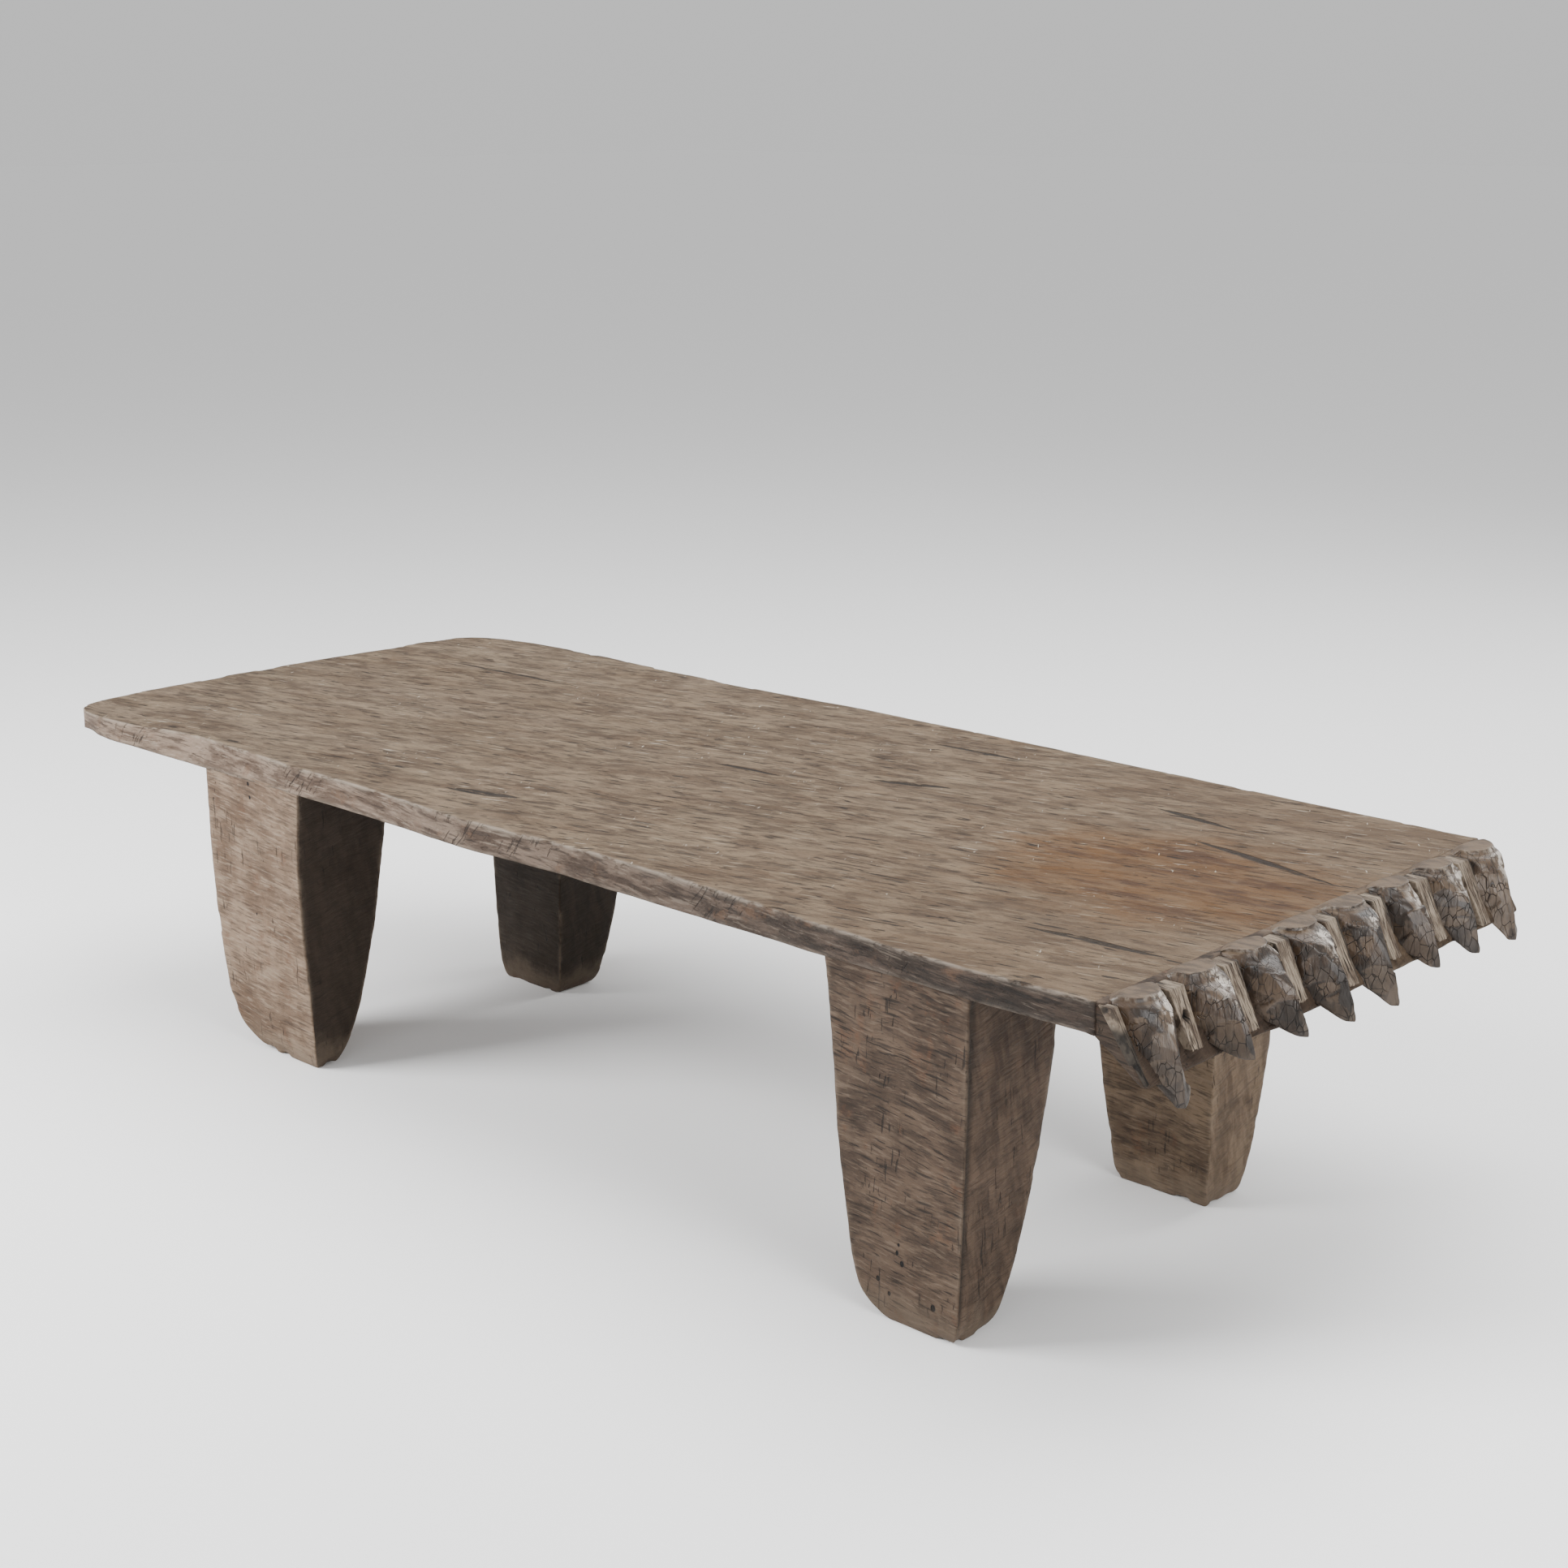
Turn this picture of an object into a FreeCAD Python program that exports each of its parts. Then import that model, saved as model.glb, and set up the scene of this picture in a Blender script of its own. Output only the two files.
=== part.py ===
import FreeCAD, Part
import math
import os
import Sketcher
from FreeCAD import Placement, Rotation, Vector

# A long, low table hewn from one log, in millimetres: +Z up, floor at Z = 0, +X towards the carved end,
# -Y the front long side, and the origin under the middle of the whole table.
# The log is split here at the carving's own creases: the slab, four legs, the lip that flares from the
# right end, the hooked beaks carved on that lip and the plain ribs left standing between them.

doc = FreeCAD.newDocument("hewn_table")

SIZES = {
    # slab
    "table_top": 440.0,        # floor to the flat top
    "slab_thickness": 37.0,
    "slab_length": 1822.0,     # toe of the left end to the root of the carved end
    "slab_width": 762.0,       # measured at the carved end
    "toe_flare": 20.0,         # how far the front left toe stands out in front of the front edge
    "toe_front": 90.0,         # straight run of the toe's front edge
    "toe_side": 260.0,         # straight run of the toe's left edge
    "toe_run": 335.0,          # length of the front edge that flares out to the toe
    "left_rake": 36.0,         # how far the back left corner is set back from the toe
    "back_rake": 22.0,         # how far the back edge comes in towards the left end
    "back_corner_round": 110.0,
    "toe_round": 42.0,
    "arris_wear": 4.0,         # worn bevel round the top
    # lip at the carved end
    "lip_ledge": 9.0,          # flat top of the lip, past the slab's end
    "lip_reach": 62.0,         # slab's end to the lip's lowest corner
    "lip_drop": 76.0,          # top to the lip's lowest corner
    # beaks
    "beak_reach": 80.0,        # slab's end to the tip of the first and the last beak
    "beak_width": 68.0,
    "beak_start": 42.0,        # slab's end to the front of a beak's knob
    "knob_rise": 6.0,          # how far the beaks' tops stand above the slab
    "tip_width": 8.0,
    "tip_thickness": 3.0,
    # ribs between the beaks
    "back_margin": 10.0,       # last beak to the back edge
    "front_rib": 9.0,          # width of the rib in front of the first beak
    "rib_gap": 3.0,            # carved groove between a rib and the beak beside it
    "rib_proud_top": 16.0,
    "rib_proud_foot": 5.0,
    # legs
    "foot_wear": 7.0,          # worn bevel round each foot, as high as it is wide
    "ankle_height": 50.0,      # heights of the two middle sections of each leg
    "belly_height": 190.0,
}

# How far each beak, from the front to the back, drops below the top, and how much further its tip reaches.
BEAK_DROPS = (102.0, 76.0, 78.0, 88.0, 98.0, 80.0, 88.0, 98.0)
BEAK_BOWS = (0.0, 14.0, 17.0, 16.0, 12.0, 7.0, 4.0, 0.0)
# How far each rib drops below the top; each stands on the front side of the beak of the same number.
RIB_DROPS = (72.0, 60.0, 66.0, 62.0, 68.0, 63.0, 66.0, 70.0)

# Each leg is a ruled loft from its worn foot, through an ankle and a belly, to its top under the slab.
# A section is (distance in from the slab's end, distance in from the slab's edge, width along X, depth along Y):
# the left legs measure from the toe and the right legs from the carved end, the front legs from the
# front edge and the back legs from the back edge.
LEGS = {
    "front_left": {
        "top": (322, 0, 208, 155),
        "belly": (316, 11, 195, 121),
        "ankle": (320, 23, 186, 67),
        "foot": (372, 28, 128, 48),
    },
    "front_right": {
        "top": (156, 0, 200, 160),
        "belly": (165, 5, 173, 127),
        "ankle": (170, 9, 156, 82),
        "foot": (176, 10, 116, 64),
    },
    "back_right": {
        "top": (156, 142, 199, 160),
        "belly": (166, 172, 166, 118),
        "ankle": (171, 189, 144, 92),
        "foot": (175, 202, 136, 76),
    },
    "back_left": {
        "top": (380, 140, 163, 170),
        "belly": (384, 182, 150, 128),
        "ankle": (390, 214, 137, 93),
        "foot": (393, 226, 132, 81),
    },
}

BEAK_STEPS = 5        # level sections below a beak's knob
RIDGE_SWELL = 0.8     # under 1 the ridge bulges early, over 1 late
FLANK_POWER = 1.9     # how late a beak's sides draw in towards the tip
FLANK_SPREAD = 0.66   # where a section turns from flank to cheek, as a share of its half width
FLANK_DEPTH = 0.74    # and how far out, as a share of its depth

parts = []


def make_sheet():
    """The driving sizes, one row each, with the size's name as its alias."""
    sheet = doc.addObject("Spreadsheet::Sheet", "Sizes")
    sizes = dict(SIZES)
    for number, (drop, bow) in enumerate(zip(BEAK_DROPS, BEAK_BOWS), 1):
        sizes[f"beak_{number}_drop"] = drop
        sizes[f"beak_{number}_bow"] = bow
    for number, drop in enumerate(RIB_DROPS, 1):
        sizes[f"rib_{number}_drop"] = drop
    for leg, sections in LEGS.items():
        for section, values in sections.items():
            for what, value in zip(("end", "edge", "width", "depth"), values):
                sizes[f"{leg}_{section}_{what}"] = value
    for row, (name, value) in enumerate(sizes.items(), 1):
        sheet.set(f"A{row}", name)
        sheet.set(f"B{row}", str(value))
        sheet.setAlias(f"B{row}", name)
    doc.recompute()
    return sheet


def size(name):
    """A driving size as the expressions read it."""
    return f"Sizes.{name}"


sheet = make_sheet()
BOW = max(range(len(BEAK_BOWS)), key=lambda i: BEAK_BOWS[i]) + 1
OVERALL_LENGTH = f"(Sizes.slab_length + Sizes.beak_reach + Sizes.beak_{BOW}_bow)"
OVERALL_WIDTH = "(Sizes.slab_width + Sizes.toe_flare)"
LEFT_END = f"(-{OVERALL_LENGTH} / 2)"
ROOT = f"({LEFT_END} + Sizes.slab_length)"
FRONT_EDGE = f"(-{OVERALL_WIDTH} / 2 + Sizes.toe_flare)"
BACK_EDGE = f"({OVERALL_WIDTH} / 2)"
UNDERSIDE = "(Sizes.table_top - Sizes.slab_thickness)"
LIP_SLOPE = "((Sizes.lip_reach - Sizes.lip_ledge) / Sizes.lip_drop)"
FIRST_BEAK = "(Sizes.front_rib + Sizes.rib_gap + Sizes.beak_width / 2)"
LAST_BEAK = "(Sizes.slab_width - Sizes.back_margin - Sizes.beak_width / 2)"
BEAK_PITCH = f"(({LAST_BEAK} - {FIRST_BEAK}) / {len(BEAK_DROPS) - 1})"


def value_of(expression):
    """What an expression is worth now."""
    return float(sheet.evalExpression(expression))


def make_body(name, x, y, z):
    """An empty body with its own placement, each of x, y and z an expression."""
    body = doc.addObject("PartDesign::Body", name)
    body.Label = name
    for axis, expression in zip("xyz", (x, y, z)):
        body.setExpression(f"Placement.Base.{axis}", expression)
    parts.append(body)
    return body


def polygon_sketch(body, name, plane, points, height=None):
    """A closed polygon on one of the body's own planes; points are pairs of expressions."""
    sketch = body.newObject("Sketcher::SketchObject", name)
    origin_plane = [f for f in body.Origin.OriginFeatures if f.Role == plane][0]
    sketch.AttachmentSupport = [(origin_plane, "")]
    sketch.MapMode = "FlatFace"
    if height is not None:
        sketch.setExpression("AttachmentOffset.Base.z", height)
    corners = [Vector(value_of(x), value_of(y), 0) for x, y in points]
    for start, end in zip(corners, corners[1:] + corners[:1]):
        sketch.addGeometry(Part.LineSegment(start, end))
    for number in range(len(corners)):
        following = (number + 1) % len(corners)
        sketch.addConstraint(Sketcher.Constraint("Coincident", number, 2, following, 1))
    for number, ((x, y), corner) in enumerate(zip(points, corners)):
        for kind, expression, now in (("DistanceX", x, corner.x), ("DistanceY", y, corner.y)):
            label = f"{kind}_{number}"
            index = sketch.addConstraint(Sketcher.Constraint(kind, -1, 1, number, 1, now))
            sketch.renameConstraint(index, label)
            sketch.setExpression(f"Constraints.{label}", expression)
    return sketch


def rectangle(x, y, width, depth):
    """The four corners of a rectangle, as expressions."""
    return [(x, y), (f"{x} + {width}", y), (f"{x} + {width}", f"{y} + {depth}"), (x, f"{y} + {depth}")]


def add_pad(body, sketch, length):
    pad = body.newObject("PartDesign::Pad", f"{body.Label}_pad")
    pad.Profile = sketch
    pad.setExpression("Length", length)
    return pad


def add_loft(body, sketches):
    loft = body.newObject("PartDesign::AdditiveLoft", f"{body.Label}_loft")
    loft.Profile = sketches[0]
    loft.Sections = sketches[1:]
    loft.Ruled = True
    return loft


def edge_names(feature, wanted):
    """Names of the feature's edges for which wanted(edge) is true."""
    return [f"Edge{n}" for n, edge in enumerate(feature.Shape.Edges, 1) if wanted(edge)]


def upright_at(x, y):
    """Tests for an upright edge at this place in the body's own frame."""
    def wanted(edge):
        first, last = edge.Vertexes[0].Point, edge.Vertexes[-1].Point
        near = math.hypot(first.x - x, first.y - y) < 0.01 and math.hypot(last.x - x, last.y - y) < 0.01
        return near and abs(first.z - last.z) > 1
    return wanted


def level_at(z):
    """Tests for an edge that lies flat at this height in the body's own frame."""
    return lambda edge: all(abs(v.Point.z - z) < 0.01 for v in edge.Vertexes)


def add_fillet(body, base, names, radius):
    fillet = body.newObject("PartDesign::Fillet", f"{body.Label}_round_{len(body.Group)}")
    fillet.Base = (base, names)
    fillet.setExpression("Radius", radius)
    doc.recompute()
    return fillet


def add_chamfer(body, base, names, wear):
    chamfer = body.newObject("PartDesign::Chamfer", f"{body.Label}_wear")
    chamfer.Base = (base, names)
    chamfer.setExpression("Size", wear)
    doc.recompute()
    return chamfer


def make_slab():
    """The flat top: a flared toe at its front left corner, a well rounded back left corner."""
    body = make_body("top_slab", LEFT_END, f"-{OVERALL_WIDTH} / 2", UNDERSIDE)
    flare, length = size("toe_flare"), size("slab_length")
    back = f"{flare} + Sizes.slab_width"
    outline = [
        ("0", "0"),
        (size("toe_front"), "0"),
        (size("toe_run"), flare),
        (length, flare),
        (length, back),
        (size("left_rake"), f"{back} - Sizes.back_rake"),
        ("0", size("toe_side")),
    ]
    sketch = polygon_sketch(body, "slab_outline", "XY_Plane", outline)
    pad = add_pad(body, sketch, size("slab_thickness"))
    doc.recompute()
    corner_x, corner_y = (value_of(e) for e in outline[5])
    back_corner = edge_names(pad, upright_at(corner_x, corner_y))
    rounded = add_fillet(body, pad, back_corner, size("back_corner_round"))
    rounded = add_fillet(body, rounded, edge_names(rounded, upright_at(0, 0)), size("toe_round"))
    end_x = value_of(length)
    top_z = value_of(size("slab_thickness"))
    on_top = level_at(top_z)
    at_root = lambda e: all(abs(v.Point.x - end_x) < 0.01 for v in e.Vertexes)
    worn = edge_names(rounded, lambda e: on_top(e) and not at_root(e))
    add_chamfer(body, rounded, worn, size("arris_wear"))


def make_leg(leg):
    """A thick hewn plank of a leg, flush under the slab, drawing in through its belly to a worn foot."""
    from_left, from_front = leg.endswith("left"), leg.startswith("front")
    x_origin = LEFT_END if from_left else ROOT
    y_origin = FRONT_EDGE if from_front else BACK_EDGE
    body = make_body(f"leg_{leg}", x_origin, y_origin, "0")
    sketches = []
    for name, section, height, inset in (
        ("sole", "foot", "0", size("foot_wear")),
        ("foot", "foot", size("foot_wear"), "0"),
        ("ankle", "ankle", size("ankle_height"), "0"),
        ("belly", "belly", size("belly_height"), "0"),
        ("top", "top", UNDERSIDE, "0"),
    ):
        end, edge, width, depth = (size(f"{leg}_{section}_{w}") for w in ("end", "edge", "width", "depth"))
        x = f"{end} + {inset}" if from_left else f"-{end} - {width} + {inset}"
        y = f"{edge} + {inset}" if from_front else f"-{edge} - {depth} + {inset}"
        outline = rectangle(x, y, f"{width} - 2 * {inset}", f"{depth} - 2 * {inset}")
        sketches.append(polygon_sketch(body, f"{leg}_{name}", "XY_Plane", outline, height))
    add_loft(body, sketches)


def make_lip():
    """The wedge that flares out and down from the slab's carved end."""
    body = make_body("end_lip", ROOT, BACK_EDGE, size("table_top"))
    profile = [
        ("0", "0"),
        (size("lip_ledge"), "0"),
        (size("lip_reach"), "-Sizes.lip_drop"),
        ("0", "-Sizes.slab_thickness"),
    ]
    add_pad(body, polygon_sketch(body, "lip_profile", "XZ_Plane", profile), size("slab_width"))


def lip_face(depth):
    """How far past the slab's end the lip's outer face is, at a depth below the top."""
    return f"(Sizes.lip_ledge + {LIP_SLOPE} * {depth})"


def make_beak(number):
    """A hooked beak on the lip: level sections, each a keel with two flanks, from the knob to the tip."""
    centre = f"{FRONT_EDGE} + {FIRST_BEAK} + {number - 1} * {BEAK_PITCH}"
    body = make_body(f"beak_{number}", ROOT, centre, size("table_top"))
    drop, bow = size(f"beak_{number}_drop"), size(f"beak_{number}_bow")
    sketches = []
    for section in range(-1, BEAK_STEPS + 1):
        share = max(section, 0) / BEAK_STEPS
        swell = math.sin(math.pi / 2 * share ** RIDGE_SWELL)
        narrowing = math.sqrt(1 - share ** FLANK_POWER)
        depth = "-Sizes.knob_rise" if section < 0 else f"{drop} * {share}"
        half = f"(Sizes.tip_width / 2 + (Sizes.beak_width - Sizes.tip_width) / 2 * {narrowing})"
        ridge = f"(Sizes.beak_start + (Sizes.beak_reach + {bow} - Sizes.beak_start) * {swell})"
        back = lip_face("0" if section < 0 else depth)
        if section == BEAK_STEPS:
            back = f"({ridge} - Sizes.tip_thickness)"
        flank = f"{back} + {FLANK_DEPTH} * ({ridge} - {back})"
        cheek = f"{FLANK_SPREAD} * {half}"
        keel = [
            (back, f"-{half}"),
            (flank, f"-{cheek}"),
            (ridge, "0"),
            (flank, cheek),
            (back, half),
        ]
        height = f"-({depth})"
        sketches.append(polygon_sketch(body, f"beak_{number}_{section + 1}", "XY_Plane", keel, height))
    add_loft(body, sketches)


def make_rib(number):
    """A plain rib left standing on the lip, in front of the beak of the same number."""
    start = f"{FIRST_BEAK} + {number - 2} * {BEAK_PITCH} + Sizes.beak_width / 2 + Sizes.rib_gap"
    finish = f"{FIRST_BEAK} + {number - 1} * {BEAK_PITCH} - Sizes.beak_width / 2 - Sizes.rib_gap"
    if number == 1:
        start = "0"
    body = make_body(f"rib_{number}", ROOT, f"{FRONT_EDGE} + {finish}", size("table_top"))
    drop = size(f"rib_{number}_drop")
    foot = lip_face(drop)
    profile = [
        (size("lip_ledge"), "0"),
        ("Sizes.lip_ledge + Sizes.rib_proud_top", "0"),
        (f"{foot} + Sizes.rib_proud_foot", f"-{drop}"),
        (foot, f"-{drop}"),
    ]
    sketch = polygon_sketch(body, f"rib_{number}_profile", "XZ_Plane", profile)
    add_pad(body, sketch, f"({finish}) - ({start})")


def check_and_write():
    """Stops on any failed feature or bad solid, then writes one STEP file for each part."""
    doc.recompute()
    failed = [o.Name for o in doc.Objects if set(o.State) & {"Invalid", "Error"}]
    if failed:
        raise SystemExit(f"failed features: {failed}")
    for part in parts:
        if part.Shape.isNull() or not part.Shape.isValid() or len(part.Shape.Solids) != 1:
            raise SystemExit(f"{part.Label} isn't one valid solid")
    os.makedirs("parts", exist_ok=True)
    for part in parts:
        part.Shape.exportStep(os.path.join("parts", f"{part.Label}.step"))
    box = FreeCAD.BoundBox()
    for part in parts:
        box.add(part.Shape.BoundBox)
    print(f"{len(parts)} parts, {box.XLength:.1f} x {box.YLength:.1f} x {box.ZLength:.1f} mm,"
          f" centre {box.Center.x:.2f}, {box.Center.y:.2f}, lowest {box.ZMin:.2f}")


make_slab()
for leg_name in LEGS:
    make_leg(leg_name)
make_lip()
for beak_number in range(1, len(BEAK_DROPS) + 1):
    make_beak(beak_number)
for rib_number in range(1, len(RIB_DROPS) + 1):
    make_rib(rib_number)
check_and_write()
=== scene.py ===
import math
import bpy
import numpy as np
from mathutils import Matrix, Vector


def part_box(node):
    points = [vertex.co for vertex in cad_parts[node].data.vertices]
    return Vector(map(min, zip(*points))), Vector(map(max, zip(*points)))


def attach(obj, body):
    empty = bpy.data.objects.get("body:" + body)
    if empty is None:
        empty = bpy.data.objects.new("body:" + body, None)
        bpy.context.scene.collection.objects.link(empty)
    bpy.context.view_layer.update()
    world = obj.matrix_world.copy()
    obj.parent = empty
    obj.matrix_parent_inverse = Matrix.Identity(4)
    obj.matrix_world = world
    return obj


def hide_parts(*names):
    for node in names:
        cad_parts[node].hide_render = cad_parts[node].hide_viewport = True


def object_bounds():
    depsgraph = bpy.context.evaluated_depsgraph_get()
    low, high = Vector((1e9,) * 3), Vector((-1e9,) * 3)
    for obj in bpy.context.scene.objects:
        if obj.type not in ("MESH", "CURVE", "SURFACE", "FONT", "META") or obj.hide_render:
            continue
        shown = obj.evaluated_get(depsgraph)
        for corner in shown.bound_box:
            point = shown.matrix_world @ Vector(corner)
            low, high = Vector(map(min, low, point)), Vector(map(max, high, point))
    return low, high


# A long, low table hewn from one log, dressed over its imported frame: metres, +Z up, floor at Z = 0,
# +X towards the carved end, -Y the front long side.

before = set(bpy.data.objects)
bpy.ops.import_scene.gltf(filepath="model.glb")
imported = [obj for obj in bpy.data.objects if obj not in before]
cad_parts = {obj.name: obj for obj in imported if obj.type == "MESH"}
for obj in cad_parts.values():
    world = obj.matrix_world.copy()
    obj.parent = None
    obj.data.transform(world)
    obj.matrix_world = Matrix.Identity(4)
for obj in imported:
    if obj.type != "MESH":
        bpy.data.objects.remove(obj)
cad_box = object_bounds()

slab_low, slab_high = (np.array(corner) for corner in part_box("top_slab"))
lip_low, lip_high = (np.array(corner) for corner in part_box("end_lip"))
LEFT, ROOT = slab_low[0], slab_high[0]
UNDER, TOP = slab_low[2], slab_high[2]
FRONT, BACK = lip_low[1], lip_high[1]
MM = 0.001
LEDGE = 9 * MM                              # flat top of the lip, past the slab's end
LIP_SLOPE = (lip_high[0] - ROOT - LEDGE) / (TOP - lip_low[2])
BEAKS = 8

# ---------------------------------------------------------------- noise

def scatter(i, j, k, seed):
    """A fixed pseudo-random value, 0 to 1, for each whole-number cell."""
    mask = 0xFFFFFFFF
    h = (i * 374761393 + j * 668265263 + k * 1274126177 + seed * 974634777) & mask
    h = ((h ^ (h >> 13)) * 1103515245) & mask
    h = ((h ^ (h >> 16)) * 1540483477) & mask
    return ((h ^ (h >> 15)) & 0xFFFFFF) / 0xFFFFFF


def noise(points, seed=0):
    """Smooth noise from -1 to 1."""
    cell = np.floor(points).astype(np.int64)
    f = points - cell
    f = f * f * f * (f * (f * 6 - 15) + 10)
    total = np.zeros(len(points))
    for corner in range(8):
        step = [(corner >> axis) & 1 for axis in range(3)]
        weight = np.ones(len(points))
        for axis in range(3):
            weight = weight * (f[:, axis] if step[axis] else 1 - f[:, axis])
        total += weight * scatter(cell[:, 0] + step[0], cell[:, 1] + step[1], cell[:, 2] + step[2], seed)
    return total * 2 - 1


def rough(points, octaves=3, seed=0):
    """Noise with finer and fainter noise on it."""
    total = np.zeros(len(points))
    for octave in range(octaves):
        total += noise(points * 2.03 ** octave, seed + octave) * 0.5 ** octave
    return total / 1.6


def strokes(points, seed=0):
    """Distance to the nearest of many scattered points: the floor of each tool stroke is near 0."""
    base = np.floor(points).astype(np.int64)
    best = np.full(len(points), 9.0)
    for x in (-1, 0, 1):
        for y in (-1, 0, 1):
            for z in (-1, 0, 1):
                i, j, k = base[:, 0] + x, base[:, 1] + y, base[:, 2] + z
                middle = np.stack([c + scatter(i, j, k, seed + n) for n, c in enumerate((i, j, k))], 1)
                best = np.minimum(best, ((points - middle) ** 2).sum(1))
    return np.sqrt(best)


def step(low, high, value):
    """0 below low, 1 above high, smooth between."""
    t = np.clip((value - low) / (high - low), 0, 1)
    return t * t * (3 - 2 * t)


# ---------------------------------------------------------------- mesh helpers

def curve(points, shares):
    """A smooth line through the points, at these shares of its length."""
    points = np.asarray(points, float)
    gaps = np.linalg.norm(np.diff(points, axis=0), axis=1)
    at = np.concatenate([[0], np.cumsum(gaps)]) / gaps.sum()
    slope = np.gradient(points, at, axis=0)
    i = np.clip(np.searchsorted(at, shares, side="right") - 1, 0, len(at) - 2)
    h = (at[i + 1] - at[i])[:, None]
    t = (shares - at[i])[:, None] / h
    return ((2 * t ** 3 - 3 * t ** 2 + 1) * points[i] + (t ** 3 - 2 * t ** 2 + t) * h * slope[i]
            + (3 * t ** 2 - 2 * t ** 3) * points[i + 1] + (t ** 3 - t ** 2) * h * slope[i + 1])


def evenly(line, count):
    """The same line with evenly spaced points."""
    gaps = np.linalg.norm(np.diff(line, axis=0), axis=1)
    at = np.concatenate([[0], np.cumsum(gaps)])
    wanted = np.linspace(0, at[-1], count)
    return np.stack([np.interp(wanted, at, line[:, axis]) for axis in range(line.shape[1])], 1)


def shares_with_fine_ends(length, fine, coarse, rows):
    """Places from 0 to 1 along a length, with this many rows of fine steps at each end."""
    ends = np.arange(rows + 1) * fine
    middle = np.linspace(ends[-1], length - ends[-1], int((length - 2 * ends[-1]) / coarse) + 1)
    return np.concatenate([ends[:-1], middle, (length - ends[::-1])[1:]]) / length


def tube(loops, caps=(8, 8)):
    """Stacked closed loops, each end closed by rings that shrink to its middle."""

    def cap(loop, rings):
        middle = loop.mean(0)
        return np.stack([middle + (loop - middle) * (1 - (k + 1) / (rings + 0.6)) for k in range(rings)])

    rows = np.concatenate([cap(loops[0], caps[0])[::-1], loops, cap(loops[-1], caps[1])])
    index = np.arange(rows.shape[0] * rows.shape[1]).reshape(rows.shape[:2])
    low, high = index[:-1], index[1:]
    quads = np.stack([low, np.roll(low, -1, 1), np.roll(high, -1, 1), high], -1).reshape(-1, 4)
    return rows.reshape(-1, 3), quads, [index[0][::-1], index[-1]]


def outwards(verts, quads, lids=()):
    """Flips the faces if they point inwards."""
    a, b, c, d = (verts[quads[:, k]] - verts.mean(0) for k in range(4))
    volume = (np.cross(a, b) * c).sum() + (np.cross(a, c) * d).sum()
    if volume < 0:
        return quads[:, ::-1], [lid[::-1] for lid in lids]
    return quads, list(lids)


def normals(verts, quads):
    """Each point's outward direction, from the faces round it."""
    face = np.cross(verts[quads[:, 2]] - verts[quads[:, 0]], verts[quads[:, 3]] - verts[quads[:, 1]])
    total = np.zeros_like(verts)
    for k in range(4):
        for axis in range(3):
            total[:, axis] += np.bincount(quads[:, k], face[:, axis], len(verts))
    return total / np.maximum(np.linalg.norm(total, axis=1, keepdims=True), 1e-12)


def relax(verts, quads, weight, rounds):
    """Draws each point towards its neighbours, by its weight."""
    pairs = np.concatenate([quads[:, [k, (k + 1) % 4]] for k in range(4)])
    a, b = np.unique(np.sort(pairs, axis=1), axis=0).T
    count = np.maximum(np.bincount(np.concatenate([a, b]), minlength=len(verts)), 1)[:, None]
    for _ in range(rounds):
        total = np.stack([np.bincount(a, verts[b, k], len(verts)) + np.bincount(b, verts[a, k], len(verts))
                          for k in range(3)], 1)
        verts = verts + weight[:, None] * (total / count - verts)
    return verts


def make_piece(name, verts, quads, lids, slot, material, **layers):
    """A mesh piece that stands for the CAD node of the same name."""
    mesh = bpy.data.meshes.new(name)
    mesh.from_pydata(verts.tolist(), [], quads.tolist() + [lid.tolist() for lid in lids])
    mesh.polygons.foreach_set("use_smooth", [True] * len(mesh.polygons))
    for key, values in layers.items():
        layer = mesh.attributes.new(key, "FLOAT", "POINT")
        layer.data.foreach_set("value", np.asarray(values, np.float32))
    mesh.materials.append(material)
    piece = bpy.data.objects.new(f"hewn_{name}", mesh)
    bpy.context.collection.objects.link(piece)
    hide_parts(name)
    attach(piece, "root")
    return piece


# ---------------------------------------------------------------- materials

def tone(red, green, blue, shares=(0.42, 0.392, 0.34)):
    """A well-lit screen colour as the darker surface colour that the studio light brings up to it."""
    channels = [c / 255 for c in (red, green, blue)]
    linear = [c / 12.92 if c < 0.04 else ((c + 0.055) / 1.055) ** 2.4 for c in channels]
    return tuple(share * c for share, c in zip(shares, linear)) + (1,)


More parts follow.
